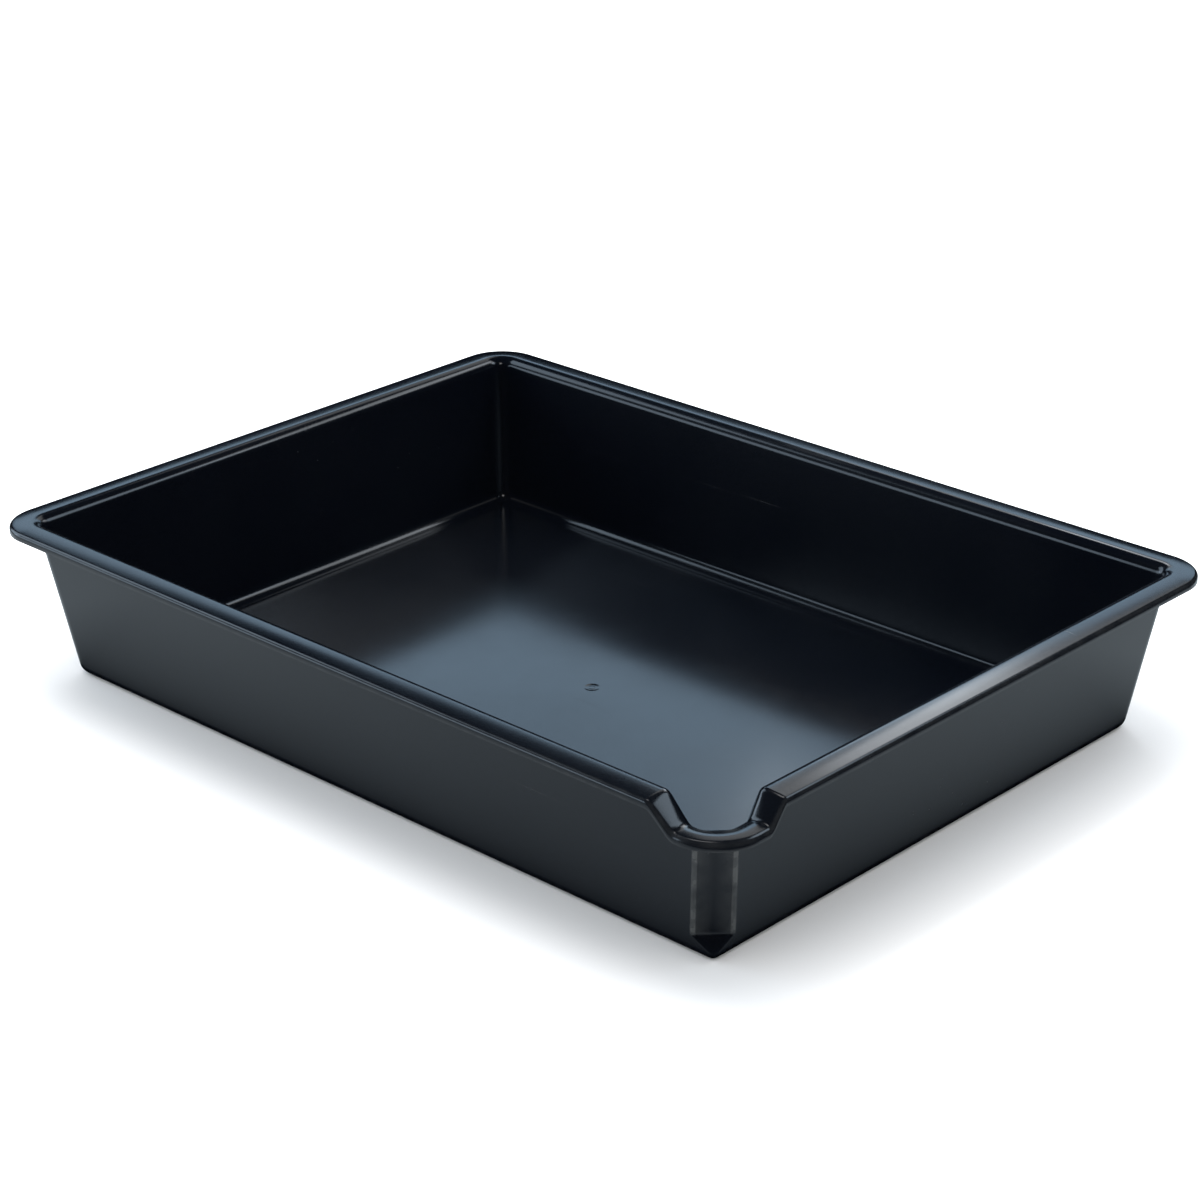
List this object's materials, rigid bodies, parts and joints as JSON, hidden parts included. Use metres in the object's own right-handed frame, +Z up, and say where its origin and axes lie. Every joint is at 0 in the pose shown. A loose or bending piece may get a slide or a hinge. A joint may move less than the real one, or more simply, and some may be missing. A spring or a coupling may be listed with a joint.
{
  "type": "paint roller tray",
  "caption": "Flat-bottomed rectangular paint tray with leaning walls, a turned-out lipped rim and a pouring spout dipped into one corner.",
  "frame": {"origin": "centre of the flat underside, on the surface the tray stands on", "axes": "+Z up; X along the long sides and Y along the short sides; the pouring spout is at the +X, -Y corner"},
  "size_m": [0.36, 0.27, 0.062],
  "materials": {
    "black_plastic": "satin moulded polypropylene, black"
  },
  "bodies": {
    "root": {"tray": "black_plastic"}
  },
  "joints": []
}
